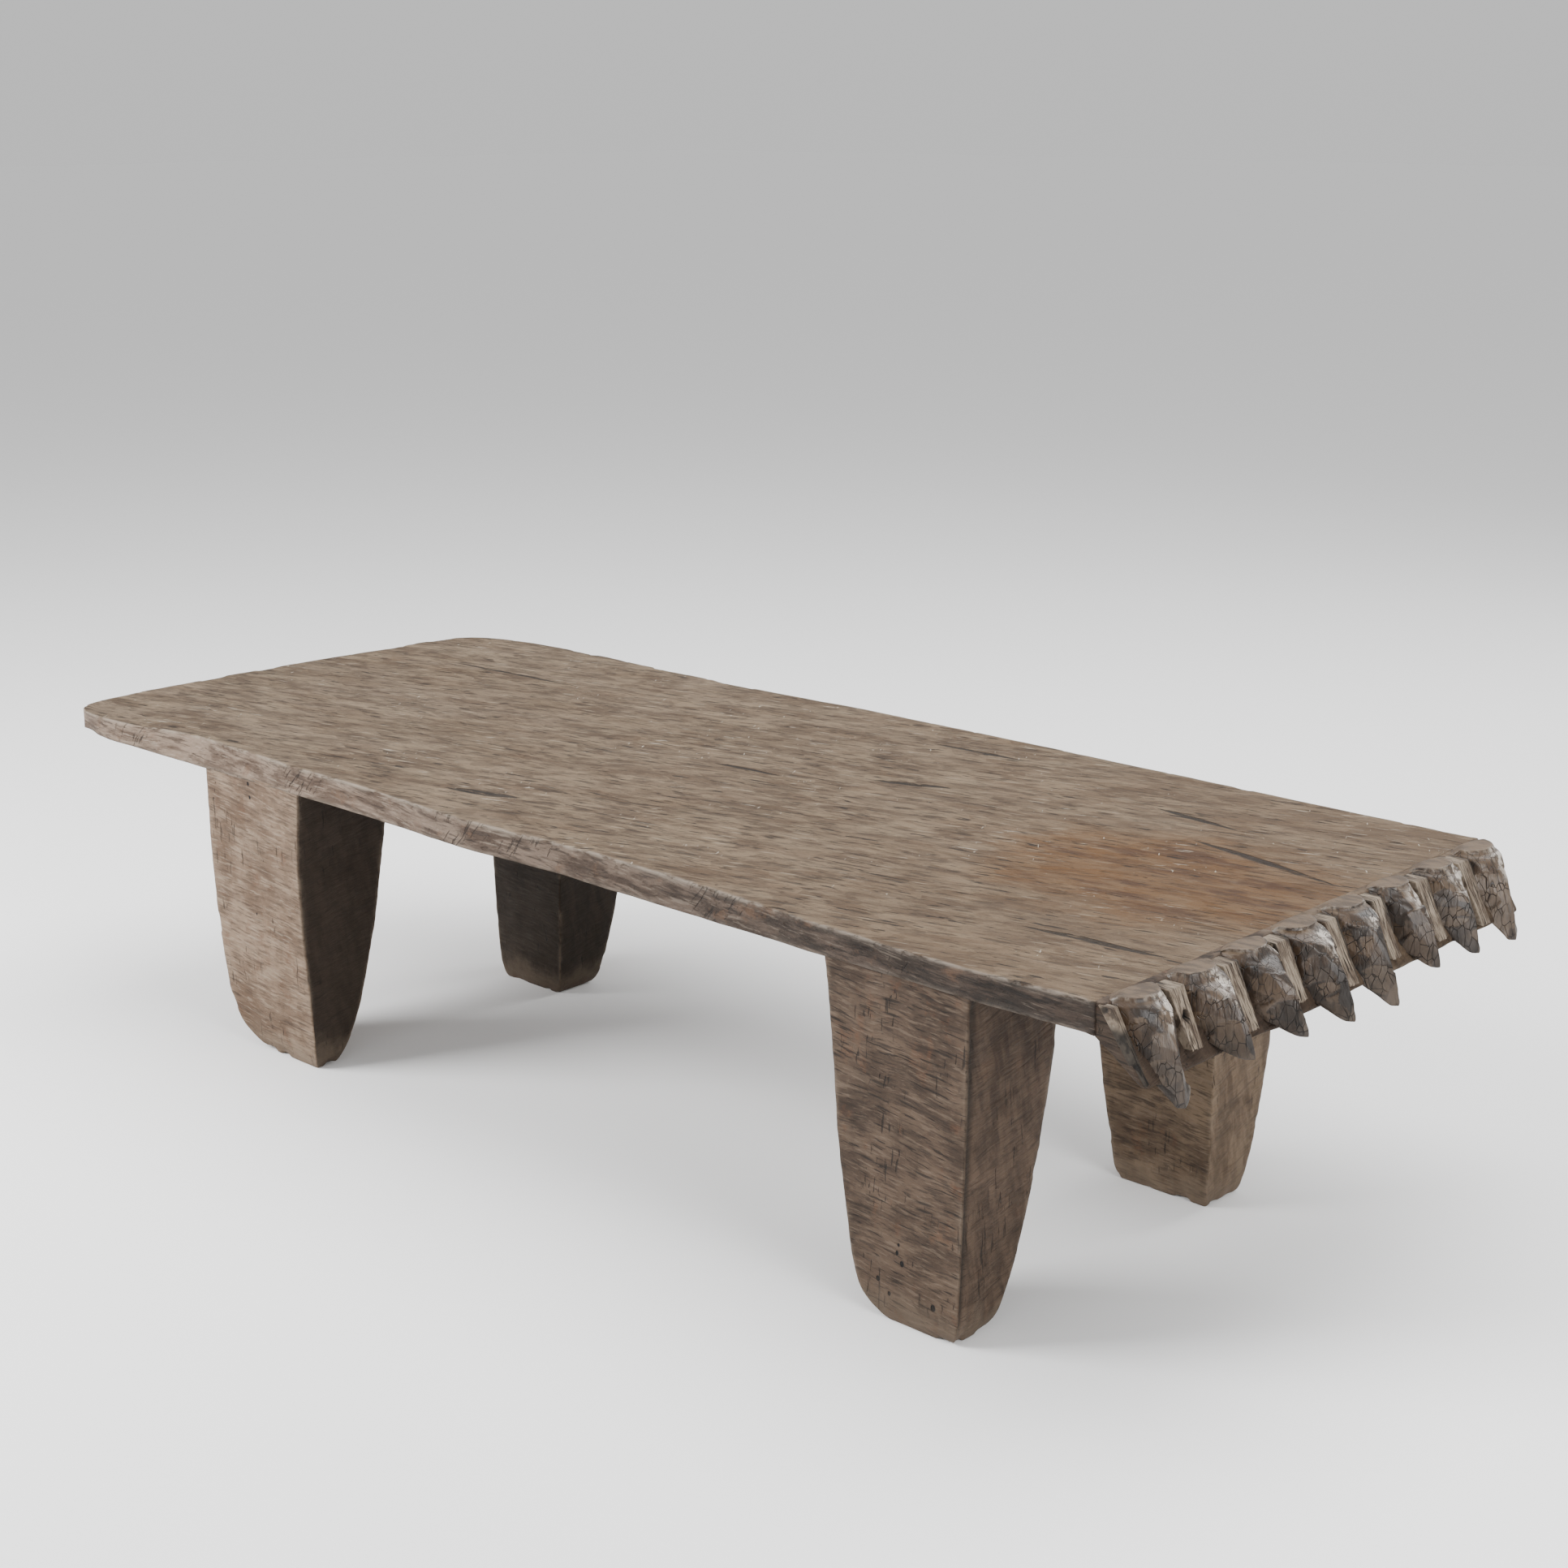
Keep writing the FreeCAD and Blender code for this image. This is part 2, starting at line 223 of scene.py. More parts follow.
class Wood:
    """A node material, built by short calls that add a node and give back its output."""

    def __init__(self, name):
        self.material = bpy.data.materials.new(name)
        self.material.use_nodes = True
        self.tree = self.material.node_tree
        self.shader = self.tree.nodes["Principled BSDF"]
        self.place = self.node("TexCoord").outputs["Object"]
        parts = self.node("SeparateXYZ", Vector=self.place)
        self.x, self.y, self.z = parts.outputs

    def node(self, kind, settings=None, **inputs):
        """A new node. Its inputs are given by name, with _ for a space."""
        node = self.tree.nodes.new("ShaderNode" + kind)
        for key, value in (settings or {}).items():
            setattr(node, key, value)
        for key, value in inputs.items():
            self.feed(node.inputs[key.replace("_", " ")], value)
        return node

    def feed(self, socket, value):
        if isinstance(value, bpy.types.NodeSocket):
            self.tree.links.new(value, socket)
        else:
            socket.default_value = value

    def do(self, operation, a, b=0.0, clamp=False):
        node = self.node("Math", {"operation": operation, "use_clamp": clamp})
        self.feed(node.inputs[0], a)
        self.feed(node.inputs[1], b)
        return node.outputs[0]

    def plus(self, a, b):
        return self.do("ADD", a, b)

    def minus(self, a, b, clamp=False):
        return self.do("SUBTRACT", a, b, clamp)

    def times(self, a, b):
        return self.do("MULTIPLY", a, b)

    def swing(self, field, weight):
        """The field's distance from its middle value, times a weight."""
        return self.times(self.minus(field, 0.5), weight)

    def relief(self, *parts):
        """A height: the sum of the fields, each times its weight."""
        total = self.times(*parts[0])
        for field, weight in parts[1:]:
            total = self.plus(total, self.times(field, weight))
        return total

    def union(self, masks):
        """1 wherever any of the masks is 1."""
        total = masks[0]
        for mask in masks[1:]:
            total = self.do("MAXIMUM", total, mask)
        return total

    def mix(self, share, a, b):
        """From colour a to colour b. A plain colour is given as it looks on screen, 0 to 255."""
        node = self.node("Mix", {"data_type": "RGBA"})
        self.feed(node.inputs[0], share)
        for index, colour in ((6, a), (7, b)):
            self.feed(node.inputs[index], tone(*colour) if isinstance(colour, tuple) else colour)
        return node.outputs[2]

    def over(self, colour, mask, share, tint):
        """Lays a tint over the colour where the mask is 1, by no more than this share."""
        return self.mix(self.times(mask, share), colour, tint)

    def coats(self, colour, *coats):
        """Lays tints over the colour, each up to its share as its field goes from low to high."""
        for field, low, high, share, tint in coats:
            colour = self.mix(self.step(low, high, field, share), colour, tint)
        return colour

    def step(self, low, high, value, to=1.0):
        node = self.node("MapRange", {"interpolation_type": "SMOOTHSTEP"}, Value=value, From_Min=low,
                         From_Max=high, To_Max=to)
        return node.outputs[0]

    def layer(self, name):
        """The value that make_piece stored on the points under this name."""
        return self.node("Attribute", {"attribute_name": name}).outputs["Fac"]

    def facing(self, axis):
        """How far the surface faces along an axis, from -1 to 1."""
        normal = self.node("NewGeometry").outputs["Normal"]
        return self.node("SeparateXYZ", Vector=normal).outputs[axis]

    def stretched(self, size, turn=0.0, shift=(0, 0, 0), place=None):
        """The place measured in cells of this size, turned about Z, or about X, Y and Z."""
        turns = turn if isinstance(turn, tuple) else (0, 0, turn)
        node = self.node("Mapping", {"vector_type": "TEXTURE"}, Vector=place or self.bent, Location=shift,
                         Rotation=tuple(math.radians(angle) for angle in turns), Scale=size)
        return node.outputs[0]

    def noise(self, size, turn=0.0, detail=3.0, roughness=0.55, shift=(0, 0, 0), place=None):
        vector = self.stretched(size, turn, shift, place)
        return self.node("TexNoise", Vector=vector, Scale=1.0, Detail=detail, Roughness=roughness).outputs[0]

    def crackle(self, size, width):
        """1 on the thin borders of scattered cells."""
        vector = self.stretched(size)
        node = self.node("TexVoronoi", {"feature": "DISTANCE_TO_EDGE"}, Vector=vector, Scale=1.0)
        return self.minus(1.0, self.step(0.0, width, node.outputs["Distance"]))

    def cells(self, size, turn=0.0, shift=(0, 0, 0)):
        """The hollows left by an adze: a chance value for each, and the distance from its middle."""
        node = self.node("TexVoronoi", Vector=self.stretched(size, turn, shift), Scale=1.0)
        chance = self.node("SeparateXYZ", Vector=node.outputs["Color"]).outputs[0]
        return chance, node.outputs["Distance"]

    def dashes(self, size, turn, shift, core, chosen):
        """1 in the core of each long thin cell that chance has chosen."""
        chance, from_middle = self.cells(size, turn, shift)
        return self.times(self.step(*core, from_middle), self.step(*chosen, chance))

    def patchy(self, mask, low, high, size):
        """The mask, broken into patches."""
        patches = self.noise(size, 0, 4, 0.7, shift=(0, 9, 0))
        return self.times(mask, self.step(low, high, patches))

    def vector(self, operation, a, b):
        node = self.node("VectorMath", {"operation": operation})
        self.feed(node.inputs[0], a)
        self.feed(node.inputs[1], b)
        return node.outputs[0]

    def bend(self, amount, size):
        """Makes every later layer wander by this much over this size."""
        drift = self.node("TexNoise", Vector=self.stretched(size, place=self.place), Scale=1.0, Detail=2.0)
        middle = self.vector("SUBTRACT", drift.outputs["Color"], (0.5, 0.5, 0.5))
        self.bent = self.vector("ADD", self.place, self.vector("MULTIPLY", middle, amount))

    def near(self, point, axes, place=None):
        """1 at a point, fading to 0 at the edge of an ellipsoid with these half axes."""
        vector = self.node("Mapping", {"vector_type": "TEXTURE"}, Vector=place or self.bent, Location=point,
                           Scale=axes).outputs[0]
        length = self.node("VectorMath", {"operation": "LENGTH"})
        self.feed(length.inputs[0], vector)
        return self.minus(1.0, self.step(0.0, 1.0, length.outputs["Value"]))

    def split(self, start, end, width):
        """1 along a dark split in the top, from start to end, thinning at both ends."""
        (x0, y0), (x1, y1) = start, end
        length = math.hypot(x1 - x0, y1 - y0)
        vector = self.node("Mapping", {"vector_type": "TEXTURE"}, Vector=self.bent,
                           Location=((x0 + x1) / 2, (y0 + y1) / 2, 0),
                           Rotation=(0, 0, math.atan2(y1 - y0, x1 - x0)),
                           Scale=(length / 2, width, 1)).outputs[0]
        parts = self.node("SeparateXYZ", Vector=vector).outputs
        along = self.minus(1.0, self.do("POWER", self.do("ABSOLUTE", parts[0]), 2.0), clamp=True)
        across = self.do("DIVIDE", self.do("ABSOLUTE", parts[1]), self.plus(along, 0.001))
        inside = self.minus(1.0, self.step(0.5, 1.0, across))
        return self.times(inside, self.step(0, 0.2, along))

    def finish(self, colour, roughness, height, depth, gloss=0.2):
        self.shader.inputs["Specular IOR Level"].default_value = gloss
        bump = self.node("Bump", Height=height, Distance=depth, Strength=1.0)
        self.feed(self.shader.inputs["Base Color"], colour)
        self.feed(self.shader.inputs["Roughness"], roughness)
        self.feed(self.shader.inputs["Normal"], bump.outputs[0])
        return self.material


# splits in the top: start and end as X and Y, then half the width, in metres
TOP_SPLITS = [((0.66, -0.238), (0.85, -0.212), 0.0075), ((0.62, 0.150), (0.84, 0.113), 0.0080),
              ((-0.22, -0.298), (-0.10, -0.262), 0.0110), ((0.50, 0.24), (0.64, 0.225), 0.0060),
              ((-0.78, 0.18), (-0.50, 0.20), 0.0050), ((0.10, 0.30), (0.26, 0.31), 0.0050),
              ((-0.05, 0.02), (0.06, 0.035), 0.0050), ((0.16, 0.10), (0.26, 0.14), 0.0080)]


def top_wood():
    """Dull grey-brown top under short slanting adze marks, with a warm patch near the carved end."""
    w = Wood("top_wood")
    w.bend((0.03, 0.02, 0.012), (0.16, 0.09, 0.1))
    side = w.layer("side")
    edge = w.layer("edge")

    # broad tones, then the warm patch
    along = w.step(-0.9, 0.75, w.x)
    broad = w.noise((0.26, 0.13, 0.14), 8, 5, 0.6)
    bands = w.noise((0.17, 0.045, 0.05), 11, 6, 0.65)
    colour = w.mix(along, (150, 134, 121), (136, 116, 98))
    colour = w.coats(
        colour,
        (broad, 0.40, 0.60, 0.60, (112, 95, 80)),
        (bands, 0.48, 0.62, 0.50, (104, 84, 68)),
        (bands, 0.46, 0.36, 0.35, (160, 144, 126)))
    wander = w.noise((0.12, 0.09, 0.09), 0, 4, shift=(3, 0, 0))
    warm = w.near((0.68, 0.01, TOP), (0.36, 0.27, 1))
    warm = w.step(0.04, 0.78, w.plus(warm, w.swing(wander, 0.9)))
    colour = w.over(colour, warm, 0.85, (136, 96, 48))

    # adze hollows, marks and strokes, all slanting a little across the top
    chance, hollow = w.cells((0.062, 0.021, 0.021), 15)
    chance_2, hollow_2 = w.cells((0.040, 0.013, 0.013), 11, shift=(3, 1, 0))
    mark = w.noise((0.072, 0.019, 0.019), 15, 6, 0.66)
    dash = w.noise((0.042, 0.0070, 0.0070), 13, 5, 0.64, shift=(1, 0, 0))
    fine = w.noise((0.026, 0.0036, 0.0036), 11, 4, 0.62, shift=(2, 4, 0))
    colour = w.coats(
        colour,
        (chance, 0.50, 0.95, 0.34, (92, 76, 62)),
        (chance, 0.50, 0.05, 0.32, (166, 149, 130)),
        (chance_2, 0.55, 0.95, 0.35, (84, 69, 57)),
        (chance_2, 0.45, 0.05, 0.28, (170, 154, 136)),
        (mark, 0.53, 0.62, 0.50, (86, 70, 57)),
        (mark, 0.46, 0.38, 0.35, (164, 147, 128)),
        (dash, 0.57, 0.62, 0.55, (64, 52, 43)),
        (dash, 0.42, 0.36, 0.40, (172, 156, 138)),
        (fine, 0.58, 0.63, 0.50, (60, 49, 41)))
    dark = w.dashes((0.090, 0.0150, 0.0150), 13, (1, 6, 0), (0.26, 0.12), (0.30, 0.55))
    dark_2 = w.dashes((0.060, 0.0100, 0.0100), 16, (6, 1, 0), (0.26, 0.12), (0.35, 0.60))
    dark = w.do("MAXIMUM", dark, dark_2)
    colour = w.over(colour, dark, w.plus(0.42, w.times(along, 0.20)), (50, 40, 33))
    light = w.dashes((0.070, 0.0090, 0.0090), 15, (2, 8, 0), (0.24, 0.12), (0.50, 0.70))
    colour = w.over(colour, light, 0.55, (196, 184, 170))

    # calmer towards the carved end, with a glaze and reddish streaks over the warm patch
    colour = w.coats(colour, (w.x, 0.30, 0.80, 0.28, (130, 110, 92)))
    colour = w.over(colour, warm, 0.42, (110, 74, 34))
    red = w.noise((0.12, 0.030, 0.03), 8, 6, 0.65, shift=(7, 0, 0))
    streaks = w.times(w.step(0.50, 0.60, red, 0.60), w.step(0.5, 1.0, warm))
    colour = w.mix(streaks, colour, (66, 36, 22))

    # dark nicks, pale scratches and splits
    nicks = w.step(0.64, 0.67, w.noise((0.040, 0.0048, 0.0048), 11, 3, 0.5, shift=(4, 2, 0)))
    colour = w.over(colour, nicks, 0.85, (42, 35, 31))
    scratch = w.noise((0.040, 0.0036, 0.0036), 18, 3, 0.5, shift=(9, 5, 0))
    where = w.step(0.46, 0.62, w.noise((0.12, 0.08, 0.08), 0, 3, shift=(2, 8, 0)))
    scratches = w.times(w.step(0.66, 0.70, scratch), where)
    tick = w.noise((0.0045, 0.022, 0.01), 30, 2, 0.5, shift=(5, 9, 0))
    scratches = w.do("MAXIMUM", scratches, w.times(w.step(0.70, 0.73, tick), where))
    colour = w.over(colour, scratches, 0.85, (224, 218, 212))
    cracks = w.union([w.split(*place) for place in TOP_SPLITS])
    ragged = w.step(0.34, 0.46, w.noise((0.03, 0.006, 0.006), 8, 4, shift=(5, 5, 0)))
    cracks = w.times(cracks, ragged)
    colour = w.over(colour, cracks, 0.85, (36, 31, 29))

    # the side faces: paler and pinker to the left, darker to the right, partly the wood's own tone and partly
    # painted light falling off towards the right, with short checks across them
    along = w.step(-0.55, 0.75, w.x)
    pale = w.mix(along, (172, 154, 144), (92, 79, 73))
    deep = w.mix(along, (112, 94, 84), (54, 45, 40))
    flow = w.noise((0.08, 0.060, 0.014), 0, 6, 0.65, shift=(0, 0, 3))
    thread = w.noise((0.045, 0.036, 0.0045), (0, 3, 0), 5, 0.65, shift=(2, 0, 7))
    blotch = w.noise((0.035, 0.03, 0.03), 0, 4, 0.7, shift=(0, 4, 0))
    rim = w.mix(w.step(0.40, 0.60, flow), pale, deep)
    rim = w.coats(
        rim,
        (thread, 0.54, 0.61, 0.70, w.mix(along, (80, 66, 58), (34, 28, 26))),
        (thread, 0.43, 0.36, 0.45, w.mix(along, (204, 192, 184), (150, 140, 134))),
        (blotch, 0.56, 0.70, 0.50, (134, 104, 84)))
    check_here = w.step(0.50, 0.62, w.noise((0.16, 0.2, 0.2), 0, 2, shift=(6, 0, 0)))
    checks = w.noise((0.0042, 0.012, 0.034), (0, 34, 0), 2, 0.5, shift=(1, 1, 1))
    checks = w.times(w.step(0.60, 0.66, checks), check_here)
    rim = w.over(rim, checks, 0.75, (50, 42, 38))
    # painted shade on the faces that point down
    rim = w.over(rim, w.step(-0.2, -0.7, w.facing(2)), 0.6, (86, 72, 62))
    colour = w.mix(side, colour, rim)
    worn = w.patchy(edge, 0.38, 0.54, (0.05, 0.02, 0.02))
    colour = w.over(colour, worn, 0.75, w.mix(along, (206, 196, 188), (190, 182, 178)))

    height = w.relief((hollow, 0.7), (hollow_2, 0.35), (mark, -1.0), (dash, -0.8), (fine, -0.4),
                      (w.do("MAXIMUM", nicks, dark), -0.5), (cracks, -1.2),
                      (w.times(checks, side), -1.2), (scratches, 0.15))
    roughness = w.plus(0.56, w.times(bands, 0.30))
    return w.finish(colour, roughness, height, 0.004)


# round insect holes in the legs: place in metres, then size in millimetres
INSECT_HOLES = [((0.608, -0.36, 0.087), 2.0), ((0.615, -0.36, 0.076), 2.6), ((0.580, -0.36, 0.047), 2.4),
                ((0.596, -0.36, 0.034), 2.0), ((0.658, -0.36, 0.038), 3.0), ((0.610, -0.36, 0.097), 1.6),
                ((-0.541, -0.36, 0.398), 2.4), ((-0.540, -0.36, 0.379), 2.2), ((0.640, 0.10, 0.30), 2.4),
                ((0.70, 0.12, 0.25), 2.0), ((-0.55, -0.35, 0.21), 1.6)]


def leg_wood():
    """Warm grey-brown wood whose grain runs level, with end grain on the narrow sides."""
    w = Wood("leg_wood")
    w.bend((0.012, 0.012, 0.014), (0.11, 0.08, 0.08))
    edge = w.layer("edge")
    shade = w.layer("shade")
    groove = w.layer("groove")
    along = w.step(-0.55, 0.30, w.x)
    back = w.step(-0.10, 0.05, w.y)
    # the left legs are paler than the right ones, and the back right leg is between them
    pale = w.mix(back, w.mix(along, (172, 150, 134), (112, 94, 82)), (150, 131, 113))
    deep = w.mix(back, w.mix(along, (132, 110, 95), (76, 62, 53)), (104, 87, 73))
    broad = w.noise((0.07, 0.06, 0.10), 0, 5, 0.62)
    rust = w.noise((0.030, 0.030, 0.045), 0, 5, 0.65, shift=(3, 1, 0))
    chance, hollow = w.cells((0.050, 0.045, 0.017), (0, 4, 0), shift=(1, 2, 0))
    bands = w.noise((0.060, 0.045, 0.010), (8, 3, 0), 6, 0.66, shift=(1, 3, 0))
    fine = w.noise((0.030, 0.026, 0.0034), (10, 4, 0), 5, 0.62, shift=(6, 0, 0))
    colour = w.mix(w.step(0.36, 0.64, broad), pale, deep)
    colour = w.coats(
        colour,
        (rust, 0.56, 0.66, 0.45, (122, 84, 62)),
        (chance, 0.55, 0.95, 0.22, w.mix(along, (114, 94, 80), (60, 48, 41))),
        (chance, 0.45, 0.05, 0.20, w.mix(along, (190, 172, 157), (136, 119, 106))),
        (bands, 0.52, 0.60, 0.36, w.mix(along, (108, 89, 77), (58, 47, 40))),
        (bands, 0.46, 0.38, 0.28, w.mix(along, (196, 180, 167), (140, 124, 112))),
        (fine, 0.55, 0.60, 0.55, w.mix(along, (88, 72, 62), (48, 39, 34))),
        (fine, 0.44, 0.37, 0.40, w.mix(along, (206, 192, 181), (152, 137, 126))))
    lines = w.step(0.62, 0.65, w.noise((0.036, 0.030, 0.0026), (12, 5, 0), 3, 0.5, shift=(2, 2, 5)))
    dashes = w.dashes((0.070, 0.060, 0.0085), (10, 4, 0), (1, 6, 2), (0.26, 0.12), (0.35, 0.60))
    lines = w.do("MAXIMUM", lines, dashes)
    weight = w.minus(w.plus(0.35, w.times(along, 0.4)), w.times(back, 0.35))
    lines = w.times(lines, weight)
    colour = w.mix(lines, colour, (36, 29, 25))

    # the narrow sides are plainer
    end_grain = w.step(0.55, 0.85, w.do("ABSOLUTE", w.facing(0)))
    upright = w.noise((0.03, 0.014, 0.05), (14, 0, 0), 6, 0.62, shift=(5, 2, 2))
    streak = w.noise((0.03, 0.040, 0.0040), (16, 0, 0), 5, 0.62, shift=(2, 5, 2))
    plain = w.mix(w.step(0.36, 0.64, upright), pale, deep)
    plain = w.coats(plain, (streak, 0.54, 0.62, 0.45, w.mix(along, (88, 72, 62), (54, 44, 37))))
    colour = w.over(colour, end_grain, 0.75, plain)

    # checks, painted shade on some faces, insect holes, the pale worn foot and the worn corners
    check_here = w.step(0.50, 0.60, w.noise((0.06, 0.06, 0.09), 0, 2, shift=(8, 0, 0)))
    checks = w.noise((0.0040, 0.0040, 0.055), (8, 5, 0), 2, 0.5, shift=(4, 4, 1))
    checks = w.times(w.step(0.64, 0.68, checks), check_here)
    colour = w.over(colour, checks, 0.7, (36, 30, 26))
    # painted shade, on the faces that make_leg and make_lip mark for it
    colour = w.over(colour, shade, 0.95, w.mix(bands, (16, 11, 7), (44, 34, 26)))
    # each hole fades out at its rim, so it is drawn wider than its size, and a little taller than wide
    holes = w.union([
        w.step(0.1, 0.4, w.near(point, (size * 1.5 * MM, 30 * MM, size * 1.9 * MM), place=w.place))
        for point, size in INSECT_HOLES])
    # painted shade in the seam up the front right leg
    colour = w.over(colour, groove, 0.8, (34, 28, 24))
    colour = w.mix(holes, colour, (18, 15, 14))
    foot = w.step(0.050, 0.008, w.plus(w.z, w.swing(rust, 0.08)))
    colour = w.over(colour, foot, 0.45, (150, 136, 124))
    worn = w.patchy(edge, 0.40, 0.62, (0.02, 0.02, 0.04))
    colour = w.over(colour, worn, 0.35, (178, 164, 152))

    height = w.relief((hollow, 0.6), (bands, -1.0), (fine, -0.5), (lines, -0.4), (checks, -1.0),
                      (holes, -2.5))
    roughness = w.plus(0.58, w.times(broad, 0.25))
    return w.finish(colour, roughness, height, 0.0022)


def beak_wood():
    """Dark wood handled to a soft polish, crazed with fine cracks and paler where rubbed, with painted
    highlights high on the crown and painted shade lower down.
    """
    w = Wood("beak_wood")
    w.bend((0.006, 0.006, 0.008), (0.04, 0.04, 0.04))
    edge, knob, shine, facet, low = (w.layer(name) for name in ("edge", "knob", "shine", "facet", "low"))
    broad = w.noise((0.030, 0.030, 0.045), 0, 4, 0.6)
    rub = w.noise((0.012, 0.012, 0.022), 0, 4, 0.6, shift=(2, 0, 0))
    grain = w.noise((0.010, 0.0024, 0.016), 0, 4, 0.6, shift=(0, 3, 0))
    colour = w.mix(w.step(0.36, 0.64, broad), (94, 77, 64), (56, 45, 38))
    colour = w.coats(
        colour,
        (facet, 0.50, 1.0, 0.42, (150, 131, 114)),
        (facet, 0.50, 0.0, 0.75, (34, 28, 25)),
        (rub, 0.54, 0.64, 0.30, (140, 124, 113)),
        (grain, 0.52, 0.64, 0.45, (42, 35, 32)))
    # painted highlights: near-white patches where make_beak marks the crown's upward faces
    glint = w.step(0.44, 0.56, w.noise((0.014, 0.010, 0.012), 0, 3, 0.6, shift=(5, 5, 0)))
    painted_highlight = w.times(w.times(shine, glint), w.step(0.25, 0.45, facet))
    colour = w.over(colour, painted_highlight, 0.90, (250, 246, 246))
    grey = w.noise((0.03, 0.012, 0.01), 8, 5, 0.62)
    colour = w.mix(knob, colour, w.mix(w.step(0.42, 0.58, grey), (126, 107, 89), (92, 76, 62)))
    here = w.step(0.36, 0.50, w.noise((0.035, 0.035, 0.035), 0, 2, shift=(8, 1, 0)))
    cracks = w.times(w.crackle((0.008, 0.008, 0.019), 0.036), here)
    cracks = w.times(cracks, w.minus(1.0, knob))
    colour = w.over(colour, cracks, 0.85, (22, 18, 16))
    # painted shade, darker towards the lower part of the beak
    colour = w.over(colour, low, 0.40, (34, 28, 23))
    worn = w.patchy(edge, 0.44, 0.60, (0.01, 0.01, 0.02))
    colour = w.over(colour, worn, 0.6, (214, 206, 200))
    height = w.relief((grain, -0.5), (cracks, -0.7), (rub, 0.5))
    roughness = w.plus(0.27, w.times(broad, 0.22))
    roughness = w.plus(roughness, w.times(w.plus(knob, low), 0.22))
    return w.finish(colour, roughness, height, 0.0013, gloss=0.36)


def rib_wood():
    """Pale grey split wood, with long dark fissures, and painted shade on the side that faces the next beak.
    """
    w = Wood("rib_wood")
    w.bend((0.004, 0.005, 0.004), (0.03, 0.03, 0.05))
    dark = w.layer("dark")
    broad = w.noise((0.03, 0.010, 0.03), 0, 4, 0.6)
    fibre = w.noise((0.02, 0.0018, 0.02), 0, 4, 0.6, shift=(0, 3, 0))
    colour = w.mix(w.step(0.38, 0.62, broad), (180, 168, 157), (116, 103, 94))
    colour = w.coats(
        colour,
        (fibre, 0.50, 0.60, 0.75, (54, 44, 38)),
        (fibre, 0.44, 0.34, 0.40, (216, 208, 199)))
    splits = w.step(0.60, 0.65, w.noise((0.05, 0.0026, 0.04), 0, 2, 0.5, shift=(4, 1, 0)))
    colour = w.over(colour, splits, 0.85, (26, 21, 19))
    # the dark layer: clefts, and painted shade on the side towards the next beak
    colour = w.mix(dark, colour, (16, 13, 12))
    height = w.relief((fibre, -0.6), (splits, -1.0))
    return w.finish(colour, w.plus(0.6, w.times(broad, 0.2)), height, 0.0016)


TOP_WOOD = top_wood()
LEG_WOOD = leg_wood()
BEAK_WOOD = beak_wood()
RIB_WOOD = rib_wood()


# ---------------------------------------------------------------- the slab

def surface_wander(points):
    """How far the hewn top stands above or below level at each point."""
    flat = points * (1, 1, 0)
    wave = rough(flat * (3.5, 7, 1), 3, 5) * 1.3 * MM
    turned = np.stack([flat[:, 0] + 0.2 * flat[:, 1], flat[:, 1] - 0.2 * flat[:, 0], flat[:, 2]], 1)
    hollow = (strokes(turned * (16, 42, 1), 3) ** 2 - 0.35) * 0.75 * MM
    return wave + hollow


